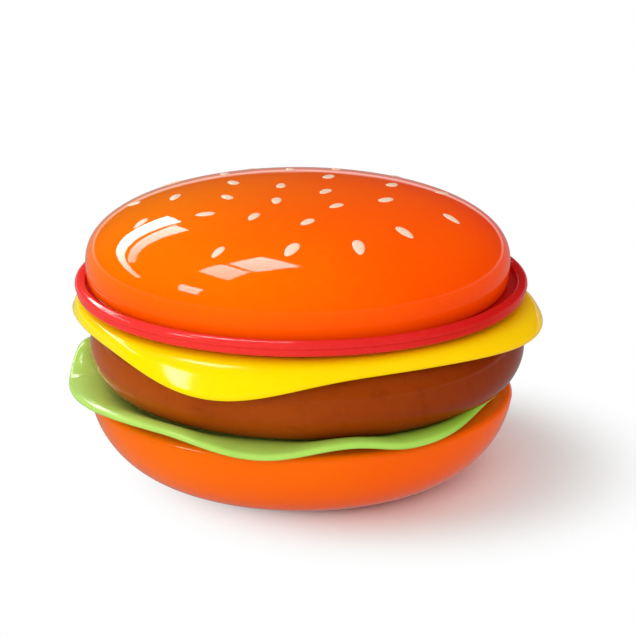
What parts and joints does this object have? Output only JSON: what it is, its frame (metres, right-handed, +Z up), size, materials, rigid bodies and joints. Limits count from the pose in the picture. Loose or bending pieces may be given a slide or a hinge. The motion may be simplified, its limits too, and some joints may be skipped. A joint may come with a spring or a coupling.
{
  "type": "novelty telephone",
  "caption": "Corded clamshell telephone shaped as a hamburger: the bun lid carries the receiver and opens on a rear hinge over dialling keys in the cheese",
  "frame": {"origin": "On the table under the axis of the bun, at the middle of the footprint", "axes": "+Z up, -Y to the front where the lid lifts, +Y to the hinge and the line socket, +X to the right seen from the front"},
  "size_m": [0.1329, 0.1344, 0.0828],
  "materials": {
    "bun": "high gloss moulded orange",
    "seed": "pale cream paint",
    "tomato": "high gloss red",
    "cheese": "high gloss yellow",
    "patty": "high gloss brown",
    "leaf": "high gloss green",
    "key": "satin cream with printed figures",
    "steel": "zinc-plated steel",
    "spring": "bright wire",
    "rubber": "black rubber",
    "silicone": "grey silicone rubber",
    "board": "brown phenolic board",
    "black": "black moulded plastic",
    "can": "bare aluminium",
    "brass": "bright brass",
    "white": "white moulded plastic",
    "iron": "dark cast weight",
    "sleeve": "blue sleeved cans",
    "foam": "grey felt ring"
  },
  "bodies": {
    "base": {"bottom_bun_shell": "bun", "cheese_deck": "cheese", "patty_ring": "patty", "lettuce_ring": "leaf", "hinge_pin": "steel", "keypad_board": "board", "keypad_mat": "silicone", "keypad_board_screws": "steel", "microphone_boot": "rubber", "microphone_capsule": "can", "hook_switch": "black", "hook_spring": "spring", "closing_bumpers": "rubber", "keypad_ribbon": "white", "main_board": "board", "board_screws": "steel", "dialler_chip": "black", "bridge_rectifier": "black", "capacitors": "sleeve", "sounder_cup": "black", "sounder_disc": "brass", "ballast_weight": "iron", "ballast_screws": "steel", "line_socket": "white", "socket_contacts": "brass", "ringer_switch": "black", "dial_mode_switch": "black", "base_screws": "steel", "rubber_feet": "rubber"},
    "lid": {"top_bun_shell": "bun", "sesame_seeds": "seed", "tomato_plate": "tomato", "lid_screws": "steel", "receiver_gasket": "foam", "receiver_capsule": "can", "receiver_clamp": "white", "clamp_screws": "steel"},
    "hook_plunger": {"hook_plunger": "white"},
    "ringer_slider": {"ringer_slider": "black"},
    "dial_mode_slider": {"dial_mode_slider": "black"},
    "key_1": {"key_1": "key"},
    "key_2": {"key_2": "key"},
    "key_3": {"key_3": "key"},
    "key_4": {"key_4": "key"},
    "key_5": {"key_5": "key"},
    "key_6": {"key_6": "key"},
    "key_7": {"key_7": "key"},
    "key_8": {"key_8": "key"},
    "key_9": {"key_9": "key"},
    "key_star": {"key_star": "key"},
    "key_0": {"key_0": "key"},
    "key_hash": {"key_hash": "key"},
    "key_redial": {"key_redial": "key"},
    "key_flash": {"key_flash": "key"},
    "key_mute": {"key_mute": "key"}
  },
  "joints": [
    {"name": "lid_hinge", "type": "hinge", "parent": "base", "child": "lid", "pos_m": [0, 0.065, 0.052], "axis": [-1, 0, 0], "range_deg": [0, 125]},
    {"name": "hook_slide", "type": "slide", "parent": "base", "child": "hook_plunger", "axis": [0, 0, 1], "range_m": [0, 0.003], "deforming": ["hook_spring"]},
    {"name": "ringer_slide", "type": "slide", "parent": "base", "child": "ringer_slider", "axis": [1, 0, 0], "range_m": [-0.002, 0.002]},
    {"name": "dial_mode_slide", "type": "slide", "parent": "base", "child": "dial_mode_slider", "axis": [1, 0, 0], "range_m": [0, 0.003]},
    {"name": "key_1_press", "type": "slide", "parent": "base", "child": "key_1", "axis": [0, 0, -1], "range_m": [0, 0.0009], "stiffness_N_per_m": 300},
    {"name": "key_2_press", "type": "slide", "parent": "base", "child": "key_2", "axis": [0, 0, -1], "range_m": [0, 0.0009], "stiffness_N_per_m": 300},
    {"name": "key_3_press", "type": "slide", "parent": "base", "child": "key_3", "axis": [0, 0, -1], "range_m": [0, 0.0009], "stiffness_N_per_m": 300},
    {"name": "key_4_press", "type": "slide", "parent": "base", "child": "key_4", "axis": [0, 0, -1], "range_m": [0, 0.0009], "stiffness_N_per_m": 300},
    {"name": "key_5_press", "type": "slide", "parent": "base", "child": "key_5", "axis": [0, 0, -1], "range_m": [0, 0.0009], "stiffness_N_per_m": 300},
    {"name": "key_6_press", "type": "slide", "parent": "base", "child": "key_6", "axis": [0, 0, -1], "range_m": [0, 0.0009], "stiffness_N_per_m": 300},
    {"name": "key_7_press", "type": "slide", "parent": "base", "child": "key_7", "axis": [0, 0, -1], "range_m": [0, 0.0009], "stiffness_N_per_m": 300},
    {"name": "key_8_press", "type": "slide", "parent": "base", "child": "key_8", "axis": [0, 0, -1], "range_m": [0, 0.0009], "stiffness_N_per_m": 300},
    {"name": "key_9_press", "type": "slide", "parent": "base", "child": "key_9", "axis": [0, 0, -1], "range_m": [0, 0.0009], "stiffness_N_per_m": 300},
    {"name": "key_star_press", "type": "slide", "parent": "base", "child": "key_star", "axis": [0, 0, -1], "range_m": [0, 0.0009], "stiffness_N_per_m": 300},
    {"name": "key_0_press", "type": "slide", "parent": "base", "child": "key_0", "axis": [0, 0, -1], "range_m": [0, 0.0009], "stiffness_N_per_m": 300},
    {"name": "key_hash_press", "type": "slide", "parent": "base", "child": "key_hash", "axis": [0, 0, -1], "range_m": [0, 0.0009], "stiffness_N_per_m": 300},
    {"name": "key_redial_press", "type": "slide", "parent": "base", "child": "key_redial", "axis": [0, 0, -1], "range_m": [0, 0.0009], "stiffness_N_per_m": 300},
    {"name": "key_flash_press", "type": "slide", "parent": "base", "child": "key_flash", "axis": [0, 0, -1], "range_m": [0, 0.0009], "stiffness_N_per_m": 300},
    {"name": "key_mute_press", "type": "slide", "parent": "base", "child": "key_mute", "axis": [0, 0, -1], "range_m": [0, 0.0009], "stiffness_N_per_m": 300}
  ],
  "couplings": [
    {"joint": "hook_slide", "follows": "lid_hinge", "m_per_rad": 0.001375}
  ]
}
